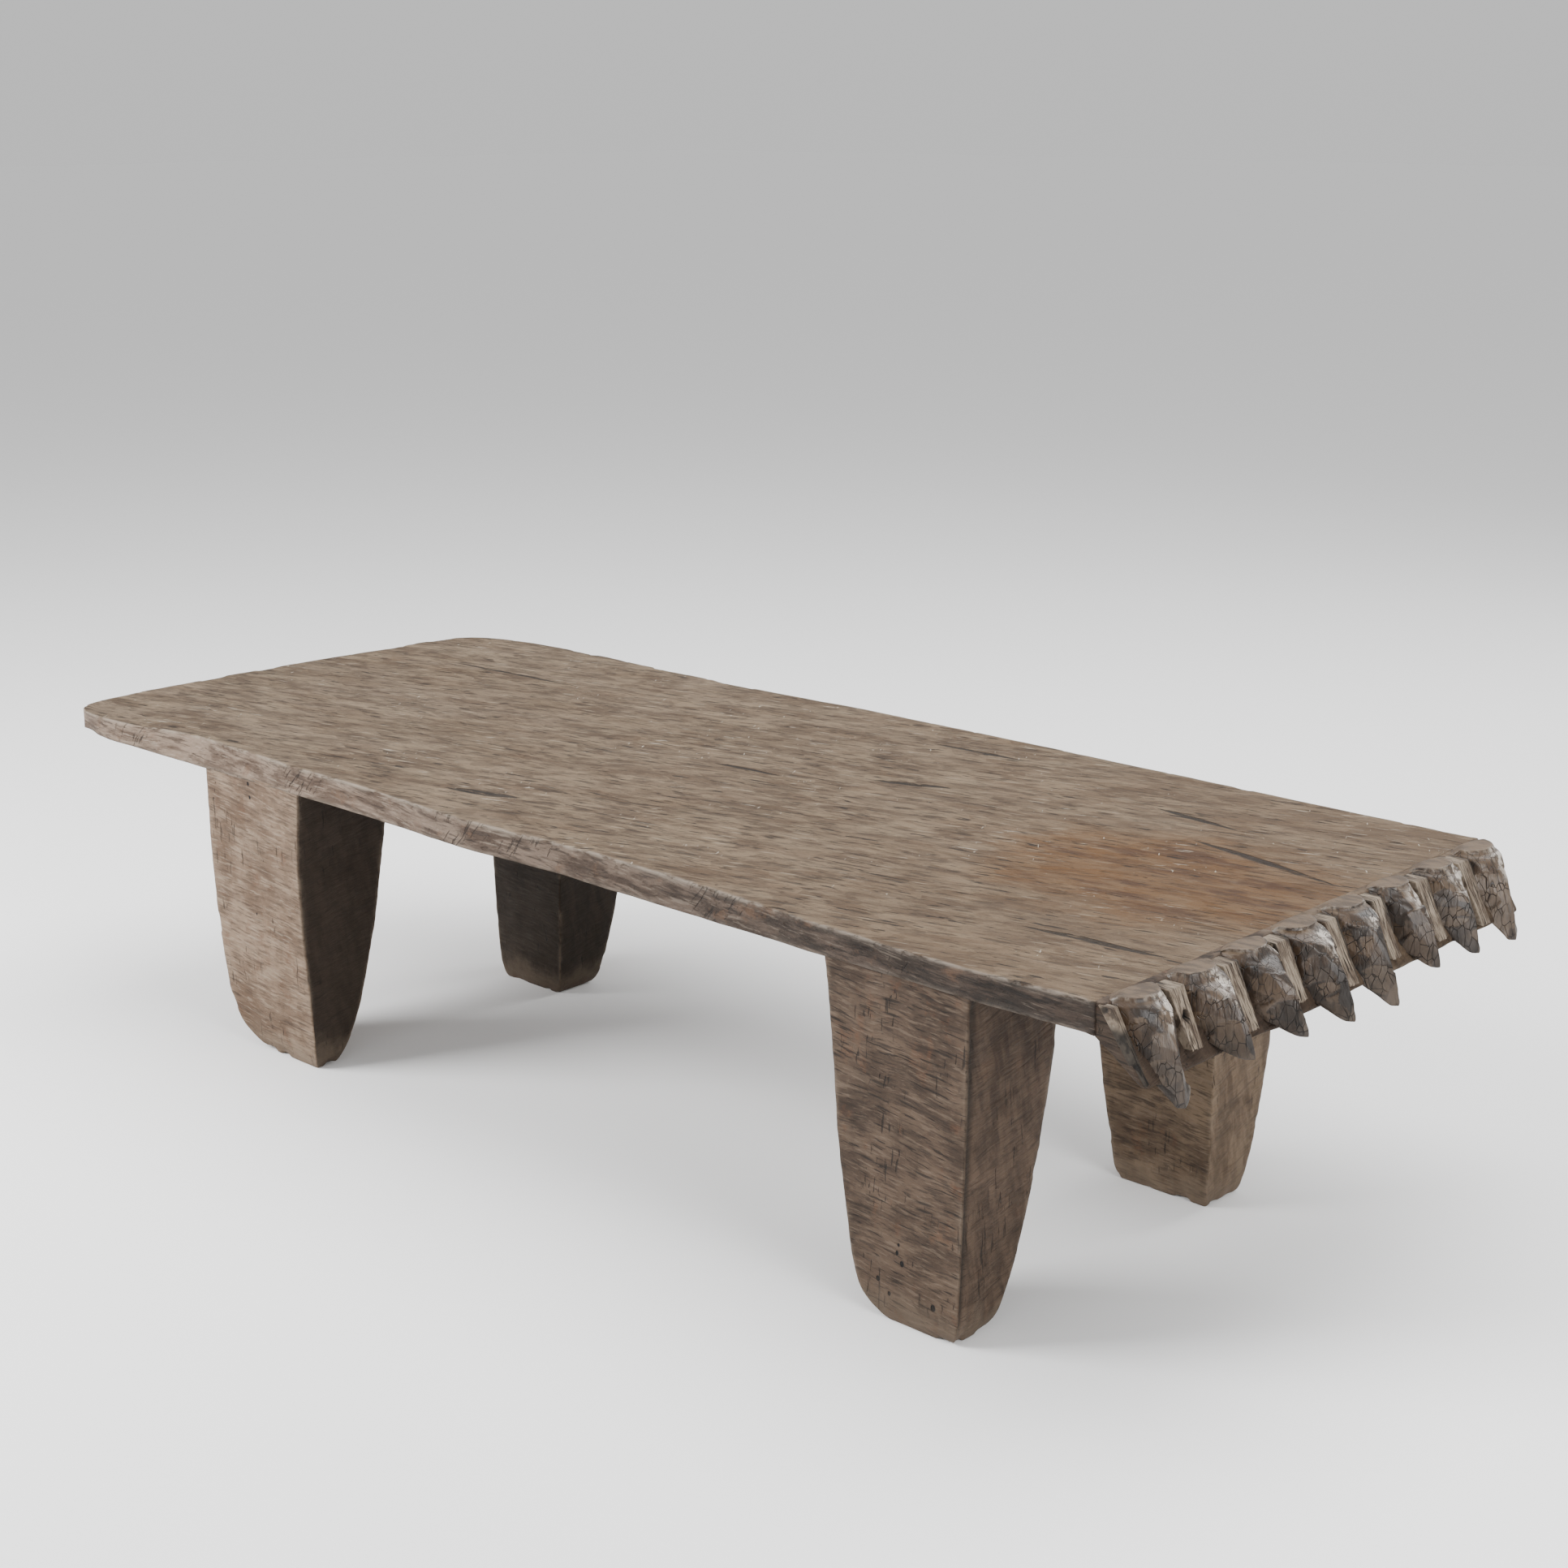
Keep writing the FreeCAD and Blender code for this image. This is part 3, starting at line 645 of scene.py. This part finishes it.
def make_slab():
    # the top's outline in millimetres, as distances from the left end and in from the front edge; the front
    # side has a second line, for its lower edge
    front_top = [(30, -6), (48, -14), (75, -18), (120, -17), (170, -10), (225, 1), (274, 10), (335, 12),
                 (407, 9), (527, 4), (703, 3), (849, -5), (965, -1), (1052, 6), (1271, 4), (1474, -6),
                 (1656, -9), (1735, -4), (1822, 1)]
    front_low = [(36, 2), (52, -7), (78, -13), (120, -14), (170, -9), (225, -4), (300, -1), (407, 0),
                 (527, 0), (703, 2), (849, -3), (1052, 5), (1271, 3), (1474, -1), (1656, -3), (1822, 0)]
    left = [(30, -6), (14, 12), (7, 35), (4, 75), (1, 110), (1, 150), (2, 203), (3, 265), (9, 331), (14, 405),
            (23, 477), (31, 530), (36, 613), (49, 668), (66, 690)]
    back = [(66, 690), (88, 704), (160, 728), (244, 738), (432, 738), (605, 740), (758, 748), (907, 755),
            (1055, 758), (1192, 760), (1500, 760), (1822, 761)]
    fine, coarse, fine_rows = 2.5 * MM, 5.8 * MM, 7
    u = shares_with_fine_ends(1820 * MM, fine, coarse, fine_rows)
    v = shares_with_fine_ends(760 * MM, fine, coarse, fine_rows)
    place = np.array([LEFT, FRONT])

    def patch(front_line):
        """A grid of points that fills the outline, row by row from the left end to the carved one."""
        lines = [np.array(line, float) * MM + place for line in (front_line, back, left)]
        lines[0][0] = lines[2][0]
        front, rear, end = curve(lines[0], u), curve(lines[1], u), curve(lines[2], v)
        carved = front[-1] + (rear[-1] - front[-1]) * v[:, None]
        a, b = u[:, None, None], v[None, :, None]
        corners = ((1 - a) * (1 - b) * front[0] + (1 - a) * b * rear[0] + a * (1 - b) * front[-1]
                   + a * b * rear[-1])
        return (1 - b) * front[:, None] + b * rear[:, None] + (1 - a) * end[None] + a * carved[None] - corners

    upper, lower = patch(front_top), patch(front_low)
    rows, columns = upper.shape[:2]
    walls = 8
    index = np.arange(rows * columns).reshape(rows, columns)
    ring = np.concatenate([index[:, 0], index[-1, 1:], index[-2::-1, -1], index[0, -2:0:-1]])

    # the underside rises under the flared toe and by the carved end
    toe = step(0.30, 0.02, lower[..., 0] - LEFT) * step(0.30, 0.02, lower[..., 1] - FRONT)
    thin = step(1.55, 1.80, lower[..., 0] - LEFT) * 4 * MM + toe * 9 * MM
    wavy = noise(np.stack([lower[..., 0] * 5, lower[..., 1] * 5, lower[..., 1] * 0], -1).reshape(-1, 3), 8)
    floor = UNDER + thin + wavy.reshape(rows, columns) * 2 * MM
    top_points = np.concatenate([upper.reshape(-1, 2), np.full((rows * columns, 1), TOP)], 1)
    low_points = np.concatenate([lower.reshape(-1, 2), floor.reshape(-1, 1)], 1)
    wall_points = [top_points[ring] + (low_points[ring] - top_points[ring]) * k / walls
                   for k in range(1, walls)]
    verts = np.concatenate([top_points] + wall_points + [low_points])
    count, around = rows * columns, len(ring)
    levels = [ring] + [count + k * around + np.arange(around) for k in range(walls - 1)]
    under = count + (walls - 1) * around + index
    levels.append(under.reshape(-1)[ring])
    quads = [np.stack([index[:-1, :-1], index[1:, :-1], index[1:, 1:], index[:-1, 1:]], -1).reshape(-1, 4),
             np.stack([under[:-1, :-1], under[:-1, 1:], under[1:, 1:], under[1:, :-1]], -1).reshape(-1, 4)]
    for high, low in zip(levels, levels[1:]):
        quads.append(np.stack([high, low, np.roll(low, -1), np.roll(high, -1)], -1))
    quads = np.concatenate(quads)
    quads, _ = outwards(verts, quads)

    # how near each point is to the top arris and to the bottom one, in metres, away from the carved end
    i, j = np.meshgrid(np.arange(rows), np.arange(columns), indexing="ij")
    inland = np.minimum(np.minimum(i, j), columns - 1 - j).reshape(-1) * fine
    drop = np.concatenate([np.full(around, k) for k in range(1, walls)]) * (TOP - UNDER) / walls
    to_top = np.concatenate([inland, drop, inland + TOP - UNDER])
    to_low = np.concatenate([inland + TOP - UNDER, TOP - UNDER - drop, inland])
    side = np.concatenate([step(1.5 * MM, -0.5 * MM, inland), np.ones(len(drop)), np.ones(count)])
    near_top, near_low = np.exp(-(to_top / (6 * MM)) ** 2), np.exp(-(to_low / (7 * MM)) ** 2)
    free = 1 - step(ROOT - 12 * MM, ROOT - 2 * MM, verts[:, 0])
    wear = 0.55 + 0.45 * noise(verts * (9, 9, 0), 21)
    verts = relax(verts, quads, 0.5 * free * np.clip(near_top * wear + near_low * 0.6, 0, 1), 2)

    out = normals(verts, quads)
    up = step(0.2, 0.8, out[:, 2])
    verts[:, 2] += surface_wander(verts) * up * (1 - 0.4 * near_top)
    edge_face = (1 - up) * free
    dents = rough(verts * (14, 14, 40), 3, 31) * 1.1 * MM
    dents += (strokes(verts * (20, 22, 22), 7) ** 2 - 0.4) * 0.9 * MM
    verts += out * (edge_face * dents)[:, None]
    chip = (step(0.38, 0.6, noise(verts * (22, 22, 22), 41)) * 1.8
            + step(0.40, 0.7, noise(verts * (90, 90, 90), 43)) * 1.4) * MM
    verts -= out * (chip * near_top * free)[:, None]
    clear = 0.3 * MM
    verts[:, 1] = np.clip(verts[:, 1], cad_box[0][1] + clear, cad_box[1][1] - clear)
    verts[:, 0] = np.maximum(verts[:, 0], cad_box[0][0] + clear)
    edge = np.exp(-(to_top / (3.4 * MM)) ** 2) * free + 0.4 * np.exp(-(to_low / (4 * MM)) ** 2) * free
    make_piece("top_slab", verts, quads, [], "top_wood", TOP_WOOD, side=side, edge=edge)


# ---------------------------------------------------------------- legs

# Each leg's outline at some heights: height, then the near and far X from the left end, then the near and
# far Y from the front edge, all in millimetres.
LEGS = {
    "front_left": [
        (0, 398, 496, 34, 64), (6, 380, 499, 30, 68), (14, 361, 502, 28, 73), (26, 341, 504, 26, 80),
        (45, 328, 506, 24, 89), (70, 320, 508, 21, 99), (120, 315, 510, 17, 114), (200, 314, 512, 10, 133),
        (300, 317, 517, 4, 147), (407, 322, 530, 1, 155)],
    "front_right": [
        (0, 1549, 1642, 14, 70), (6, 1538, 1646, 12, 73), (14, 1524, 1649, 10, 77), (30, 1510, 1652, 9, 84),
        (60, 1502, 1654, 8, 96), (120, 1494, 1657, 6, 114), (200, 1483, 1661, 4, 133),
        (300, 1477, 1664, 2, 148), (407, 1466, 1666, 1, 160)],
    "back_right": [
        (0, 1516, 1643, 489, 556), (12, 1512, 1647, 485, 562), (60, 1506, 1651, 480, 574),
        (120, 1497, 1654, 476, 584), (200, 1488, 1657, 472, 595), (300, 1476, 1662, 466, 608),
        (407, 1467, 1666, 460, 620)],
    "back_left": [
        (0, 400, 514, 460, 526), (12, 394, 523, 457, 536), (50, 390, 527, 455, 548),
        (120, 387, 531, 453, 566), (200, 384, 534, 452, 582), (300, 381, 538, 452, 604),
        (407, 380, 543, 452, 622)],
}


def make_leg(name, outlines, seed):
    table = np.array(outlines, float) * MM
    heights = np.concatenate([[0, 2, 4.5, 8], np.arange(12, 407, 4.0), [407]]) * MM
    gap = 3.6 * MM                          # about the spacing of points on a face
    across = int(round(190 * MM / gap))
    deep = int(round(130 * MM / gap))
    shape = np.stack([np.interp(heights, table[:, 0], table[:, k]) for k in range(1, 5)], 1)
    for _ in range(6):
        shape[2:-2] = (shape[1:-3] + shape[2:-2] * 2 + shape[3:-1]) / 4
    loops = []
    for height, (x0, x1, y0, y1) in zip(heights, shape):
        corners = np.array([(x0, y0), (x1, y0), (x1, y1), (x0, y1), (x0, y0)])
        sides = [np.linspace(a, b, n, endpoint=False) for a, b, n in
                 zip(corners, corners[1:], (across, deep, across, deep))]
        flat = np.concatenate(sides) + (LEFT, FRONT)
        loops.append(np.concatenate([flat, np.full((len(flat), 1), height)], 1))
    foot_rings = 14
    verts, quads, lids = tube(np.array(loops), (foot_rings, 4))
    quads, lids = outwards(verts, quads, lids)
    around = len(loops[0])
    place = np.arange(len(verts)) % around
    marks = np.array([0, across, across + deep, 2 * across + deep, around])
    to_arris = np.abs(place[:, None] - marks[None]).min(1) * gap
    row = np.arange(len(verts)) // around
    low = np.exp(-(verts[:, 2] / (13 * MM)) ** 2) * (row >= foot_rings - 4)
    arris = np.exp(-(to_arris / (5 * MM)) ** 2)
    wear = 0.5 + 0.5 * noise(verts * 14, seed)
    held = 1 - step(UNDER - 14 * MM, UNDER - 4 * MM, verts[:, 2])
    verts = relax(verts, quads, held * np.clip(0.25 * arris * wear + 0.5 * low, 0, 0.6), 2)
    out = normals(verts, quads)
    sideways = 1 - np.abs(out[:, 2]) ** 4
    hewn = rough(verts * (8, 8, 10), 3, seed) * 0.6 * MM
    hollow = (strokes(verts * (15, 20, 34), seed + 3) ** 2 - 0.38) * 0.8 * MM
    ridges = rough(verts * (20, 60, 120), 2, seed + 5) * 0.45 * MM
    verts += out * ((hewn + hollow + ridges) * sideways * held)[:, None]
    chip = step(0.34, 0.6, noise(verts * 34, seed + 7)) * 1.2 * MM * arris
    torn = step(0.0, 0.7, noise(verts * (60, 60, 45), seed + 9)) * 3.4 * MM * low
    verts -= out * ((chip + torn) * held)[:, None]
    verts[:, 2] = np.maximum(verts[:, 2], 0)
    # a seam up the front right leg, just round its right-hand front corner, pressed in and given painted
    # shade
    groove = np.exp(-((place - across - 1.2) / 1.3) ** 2) * step(0, 20 * MM, verts[:, 2])
    groove *= name == "leg_front_right"
    verts -= out * (groove * 1.6 * MM * held)[:, None]
    # painted shade on the inner faces of the two left legs, and more faintly over all of the back left leg
    shade = np.zeros(len(verts))
    if name == "leg_front_left":
        shade = step(0.55, 0.85, out[:, 0]) * 0.92
    if name == "leg_back_left":
        right_or_front = np.maximum(step(0.55, 0.85, out[:, 0]), step(-0.55, -0.85, out[:, 1]))
        shade = np.maximum(right_or_front * 0.9, 0.35)
    make_piece(name, verts, quads, lids, "leg_wood", LEG_WOOD,
               edge=arris * (1 - groove), groove=groove, shade=shade)


# ---------------------------------------------------------------- the carved end

def lip_face(depth):
    """How far past the slab's end the lip's sloping face is, this far below the top."""
    return LEDGE + LIP_SLOPE * depth


def make_lip():
    reach, drop = lip_high[0] - ROOT, TOP - lip_low[2]
    profile = np.array([(-4 * MM, -4 * MM), (-4 * MM, 0), (LEDGE, 0), (reach, -drop), (reach - 3 * MM, -drop),
                        (-6 * MM, -(TOP - UNDER) + 4 * MM), (-4 * MM, -4 * MM)])
    profile = evenly(profile, 73)[:-1]
    loops = []
    for y in np.arange(FRONT + 1.5 * MM, BACK - 2 * MM, 4 * MM):
        loops.append(np.stack([ROOT + profile[:, 0], np.full(len(profile), y), TOP + profile[:, 1]], 1))
    verts, quads, lids = tube(np.array(loops), (6, 6))
    quads, lids = outwards(verts, quads, lids)
    verts = relax(verts, quads, 0.4 * step(TOP - 6 * MM, TOP - 20 * MM, verts[:, 2]), 4)
    out = normals(verts, quads)
    up = step(0.5, 0.9, out[:, 2])
    verts[:, 2] += surface_wander(verts) * up
    amount = rough(verts * 22, 3, 61) * 2.0 * MM + (strokes(verts * (40, 26, 40), 63) ** 2 - 0.4) * 1.5 * MM
    verts += out * (amount * (1 - up) * step(0, 8 * MM, verts[:, 0] - ROOT))[:, None]
    # painted shade on the lip's sloping face and underside, on all but its upward faces
    make_piece("end_lip", verts, quads, lids, "lip_wood", LEG_WOOD, shade=(1 - up) * 0.55)


def cut_facets(verts, quads, seed, count, depth):
    """Shaves the piece with knife cuts, each a plane a little inside the surface at a scattered point.

    Gives the cut points and, at each of them, a tone for the facet that it is on."""
    picks = np.random.default_rng(seed)
    out = normals(verts, quads)
    cut, tint = np.zeros(len(verts)), np.full(len(verts), 0.45)
    for pick in picks.choice(len(verts), count, replace=False):
        facing = out @ out[pick]
        over = (verts - verts[pick]) @ out[pick] + depth * picks.uniform(0.6, 1.3)
        close = np.linalg.norm(verts - verts[pick], axis=1) < 30 * MM
        amount = np.where((facing > 0.6) & (over > 0) & close, over / np.maximum(facing, 0.6), 0)
        tint = np.where(amount > cut, picks.uniform(), tint)
        cut = np.maximum(cut, amount)
    return verts - out * np.minimum(cut, 4.2 * MM)[:, None], tint


# small differences between the beaks: sideways lean of the tip, share of extra width, bluntness of the tip,
# paleness of the wood
BEAK_TOUCHES = [(0, 1.00, 0, 0.0), (2, 1.04, 9, -0.05), (1, 1.00, 1, 0.05), (-1, 1.02, 0, 0.0),
                (1, 1.00, 0, -0.05), (0, 0.97, 1, 0.0), (-1, 1.02, 0, 0.10), (0, 1.05, 2, 0.35)]
CAP_RINGS = 12                              # rings of points that close the flat top of a beak
ARC_POINTS = 84                             # points round the outside of a beak's section, from side to side


def set_level(loop, centre, depth):
    """The flat loop at this depth below the top, X from the slab's end and Y from the centre."""
    return np.stack([ROOT + loop[:, 0], centre + loop[:, 1], np.full(len(loop), TOP - depth)], 1)


def beak_loop(depth, drop, reach, rise, half_top, lean, blunt):
    """A beak's level section at a depth below the top: X from the slab's end and Y from its middle."""
    share = max(depth, 0) / drop
    start = 42 * MM
    rim = min(depth + rise, 14 * MM) / (14 * MM)
    ridge = start + (reach - start) * math.sin(math.pi / 2 * share ** 0.8)
    ridge -= 5.5 * MM * (1 - rim) ** 1.5
    half = 4 * MM + (half_top - 4 * MM) * math.sqrt(max(1 - share ** 1.9, 0))
    half *= 0.90 + 0.10 * math.sqrt(rim)
    half = max(half, (1.2 + blunt * 0.6) * MM)
    rear = lip_face(depth) - 5 * MM if depth > 0 else -8 * MM
    tip_from = 0.78
    if share > tip_from:
        rear += (ridge - (4 + blunt * 0.6) * MM - rear) * ((share - tip_from) / (1 - tip_from)) ** 1.2
    power = 2.5 - 1.2 * step(0.0, 0.45, np.array(share))
    angles = np.linspace(-math.pi / 2, math.pi / 2, 161)
    x = np.abs(np.cos(angles)) ** (2 / power)
    y = np.sign(np.sin(angles)) * np.abs(np.sin(angles)) ** (2 / power)
    arc = evenly(np.stack([rear + (ridge - rear) * x, half * y + lean * MM * share], 1), ARC_POINTS)
    flat = np.linspace(arc[-1], arc[0], 18)[1:-1]
    return np.concatenate([arc, flat])


def make_beak(number):
    low, high = (np.array(corner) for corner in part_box(f"beak_{number}"))
    centre = (low[1] + high[1]) / 2
    drop = TOP - low[2]
    reach = high[0] - ROOT - 0.4 * MM
    rise = high[2] - TOP
    lean, extra, blunt, pale = BEAK_TOUCHES[number - 1]
    half_top = (high[1] - low[1]) / 2 * extra
    knob_depths = np.linspace(-rise + 0.4 * MM, 0, 5)[:-1]
    depths = np.concatenate([knob_depths, drop * np.linspace(0, 1, 74) ** 0.95])
    loops = []
    for depth in depths:
        loop = beak_loop(depth, drop, reach, rise, half_top, lean, blunt)
        loops.append(set_level(loop, centre, depth))
    verts, quads, lids = tube(np.array(loops), (CAP_RINGS, 5))
    quads, lids = outwards(verts, quads, lids)
    row, place = np.divmod(np.arange(len(verts)), len(loops[0]))
    rim_row = np.exp(-((row - CAP_RINGS - 1) / 1.6) ** 2)
    verts = relax(verts, quads, 0.3 * rim_row + 0.15, 3)
    seed = 100 + number
    top_face = (row <= CAP_RINGS) | (verts[:, 2] > TOP + rise - 1.5 * MM)
    body = 1 - top_face.astype(float)
    cut, facet = cut_facets(verts, quads, seed, 70, 1.5 * MM)
    kept = body * step(drop - 1 * MM, drop - 16 * MM, TOP - verts[:, 2])
    verts = verts + (cut - verts) * kept[:, None]
    out = normals(verts, quads)
    amount = rough(verts * 45, 3, seed) * 0.5 * MM
    verts += out * (amount * body)[:, None]

    # the knob's flat top sinks into the table behind a curved rear edge
    across = (verts[:, 1] - centre) / half_top
    behind = verts[:, 0] - (ROOT - 7 * MM + 11 * MM * across ** 2)
    ramp = step(-1 * MM, 16 * MM, behind)
    sunk = TOP - 1.5 * MM
    above = verts[:, 2] > sunk
    level = sunk + (verts[:, 2] - sunk) * ramp + surface_wander(verts) * (1 - 0.6 * ramp)
    verts[:, 2] = np.where(above, np.minimum(level, TOP + rise - 0.1 * MM), verts[:, 2])

    out = normals(verts, quads)
    depth = TOP - verts[:, 2]
    knob = step(2 * MM, -1 * MM, depth) * step(0.55, 0.85, out[:, 2])
    # the painted highlight goes on the crown's upward faces, towards the far side
    crown = step(38 * MM, 22 * MM, depth) * (1 - knob)
    shine = crown * step(0.22, 0.45, out[:, 2]) * step(-0.30, 0.25, across)
    rear_edge = np.exp(-((place - ARC_POINTS + 1) / 1.6) ** 2) * step(0, 30 * MM, depth)
    make_piece(f"beak_{number}", verts, quads, lids, "beak_wood", BEAK_WOOD,
               edge=rim_row * 0.6 + rear_edge * 0.6, knob=knob, shine=shine,
               # painted shade, darker lower down the beak and lighter on the paler beaks
               low=step(30 * MM, 70 * MM, depth) * (1 - 2 * max(pale, 0)),
               facet=np.clip(facet + pale, 0, 1) * body + 0.45 * (1 - body))


def make_rib(number):
    low, high = (np.array(corner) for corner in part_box(f"rib_{number}"))
    drop, width = TOP - low[2], high[1] - low[1]
    centre = (low[1] + high[1]) / 2
    seed = 200 + number
    first = number == 1                     # rib 1 stands in front of the first beak, thinner and shallower
    pierced = number == 2                   # rib 2 has a small pit
    proud_top, proud_loss = (11 * MM, 7 * MM) if first else (22 * MM, 13 * MM)
    taper, near_share = (0.70, 1.0) if first else (0.30, 1.25)
    loops = []
    for depth in np.linspace(1.0 * MM, drop, 60):
        share = depth / drop
        half = width / 2 * (1.08 - taper * share)
        inner = lip_face(depth) - 6 * MM
        outer = lip_face(depth) + proud_top - proud_loss * share
        near = half * near_share
        corners = np.array([(inner, -near), (outer, -near * 0.95), (outer, half * 0.98), (inner, half)])
        loop = np.concatenate([np.linspace(a, b, count, endpoint=False) for a, b, count in
                               zip(corners, np.roll(corners, -1, 0), (20, 30, 20, 12))])
        sway = noise(np.array([[share * 1.2, number, 0.0]]), 5)[0] * 1.0 * MM * share
        loops.append(set_level(loop, centre + sway, depth))
    verts, quads, lids = tube(np.array(loops), (6, 6))
    quads, lids = outwards(verts, quads, lids)
    verts = relax(verts, quads, np.full(len(verts), 0.35), 2)

    # upright fibres, clefts on the far side and a torn lower end
    shown = step(0, 8 * MM, verts[:, 0] - ROOT - lip_face(TOP - verts[:, 2]) + 2 * MM)
    across = (verts[:, 1] - centre) / (width / 2)
    cleft = step(0.10, 0.40, noise(verts * (4, 330, 4), seed)) * step(0.5, 0.9, across)
    fibres = rough(verts * (20, 380, 20), 3, seed) * 0.35 * MM
    verts[:, 0] -= (cleft * 3.0 * MM + fibres) * shown
    torn = step(drop - 12 * MM, drop, TOP - verts[:, 2])
    verts[:, 2] += torn * np.abs(noise(verts * (120, 260, 1), seed + 2)) * 4 * MM

    # dark: the clefts, plus painted shade on the side of the rib that faces the next beak
    dark = np.maximum(cleft * 0.9, step(0.85 if pierced else 0.50, 1.0, across) * 0.85)
    if first:
        dark = np.maximum(dark, 0.85 * step(14 * MM, 26 * MM, TOP - verts[:, 2]))
    if pierced:
        y = (verts[:, 1] - centre + 1 * MM) / (6.5 * MM)
        z = (verts[:, 2] - TOP + 28 * MM) / (7.5 * MM)
        pit = step(1.15, 0.75, np.abs(y) + np.abs(z)) * shown
        verts[:, 0] -= pit * 7 * MM
        dark = np.maximum(dark * 0.5, pit)
    make_piece(f"rib_{number}", verts, quads, lids, "rib_wood", RIB_WOOD, dark=dark)


make_slab()
for count, (leg, outlines) in enumerate(LEGS.items()):
    make_leg(f"leg_{leg}", outlines, 70 + 10 * count)
make_lip()
for number in range(1, BEAKS + 1):
    make_beak(number)
for number in range(1, BEAKS + 1):
    make_rib(number)


# ---------------------------------------------------------------- floor, light and camera

def make_stage():
    mesh = bpy.data.meshes.new("studio_floor")
    reach = 40.0
    corners = [(-reach, -reach, 0), (reach, -reach, 0), (reach, reach, 0), (-reach, reach, 0)]
    mesh.from_pydata(corners, [], [(0, 1, 2, 3)])
    floor = bpy.data.objects.new("studio_floor", mesh)
    bpy.context.collection.objects.link(floor)
    w = Wood("pale_floor")
    w.shader.inputs["Base Color"].default_value = (0.86, 0.86, 0.86, 1)
    w.shader.inputs["Roughness"].default_value = 0.9
    mesh.materials.append(w.material)
    # a pale room, a little brighter overhead, so that the far floor meets it without a line
    world = bpy.data.worlds.new("studio")
    world.use_nodes = True
    nodes, links = world.node_tree.nodes, world.node_tree.links
    parts = nodes.new("ShaderNodeSeparateXYZ")
    rise = nodes.new("ShaderNodeMapRange")
    links.new(nodes.new("ShaderNodeTexCoord").outputs["Generated"], parts.inputs[0])
    links.new(parts.outputs["Z"], rise.inputs["Value"])
    rise.inputs["To Min"].default_value = 0.70
    rise.inputs["To Max"].default_value = 0.87
    links.new(rise.outputs[0], nodes["Background"].inputs[1])
    nodes["Background"].inputs[0].default_value = (1, 1, 1, 1)
    bpy.context.scene.world = world
    for name, place, aim, size, power in (
            ("key", (-2.4, -3.0, 2.4), (-0.3, 0, 0.3), 2.0, 330),
            ("top", (0.2, 0.6, 3.4), (0, 0, 0.4), 3.0, 150),
            ("right", (3.0, -0.7, 1.1), (0.8, 0, 0.3), 1.2, 60),
            ("window", (1.0, 3.6, 2.6), (0.6, 0, 0.4), 1.6, 70)):
        lamp = bpy.data.lights.new(name, "AREA")
        lamp.energy = power
        lamp.size = size
        light = bpy.data.objects.new(name, lamp)
        light.location = place
        light.rotation_euler = (Vector(aim) - Vector(place)).to_track_quat("-Z", "Y").to_euler()
        bpy.context.collection.objects.link(light)


def make_camera():
    """The viewpoint: where it stands, and how it is turned, tipped and rolled, in radians."""
    turn, tip, roll = 0.7530, 0.2687, -0.0017
    forward = Vector((-math.sin(turn) * math.cos(tip), math.cos(turn) * math.cos(tip), -math.sin(tip)))
    right = Vector((math.cos(turn), math.sin(turn), 0))
    up = right.cross(forward)
    rolled_right = right * math.cos(roll) + up * math.sin(roll)
    rolled_up = up * math.cos(roll) - right * math.sin(roll)
    lens = bpy.data.cameras.new("camera")
    lens.sensor_width = 36
    lens.lens = 57.78
    camera = bpy.data.objects.new("camera", lens)
    turned = Matrix((rolled_right, rolled_up, -forward)).transposed().to_4x4()
    camera.matrix_world = Matrix.Translation((2.2173, -2.2583, 1.2954)) @ turned
    bpy.context.collection.objects.link(camera)
    bpy.context.scene.camera = camera


make_stage()
make_camera()
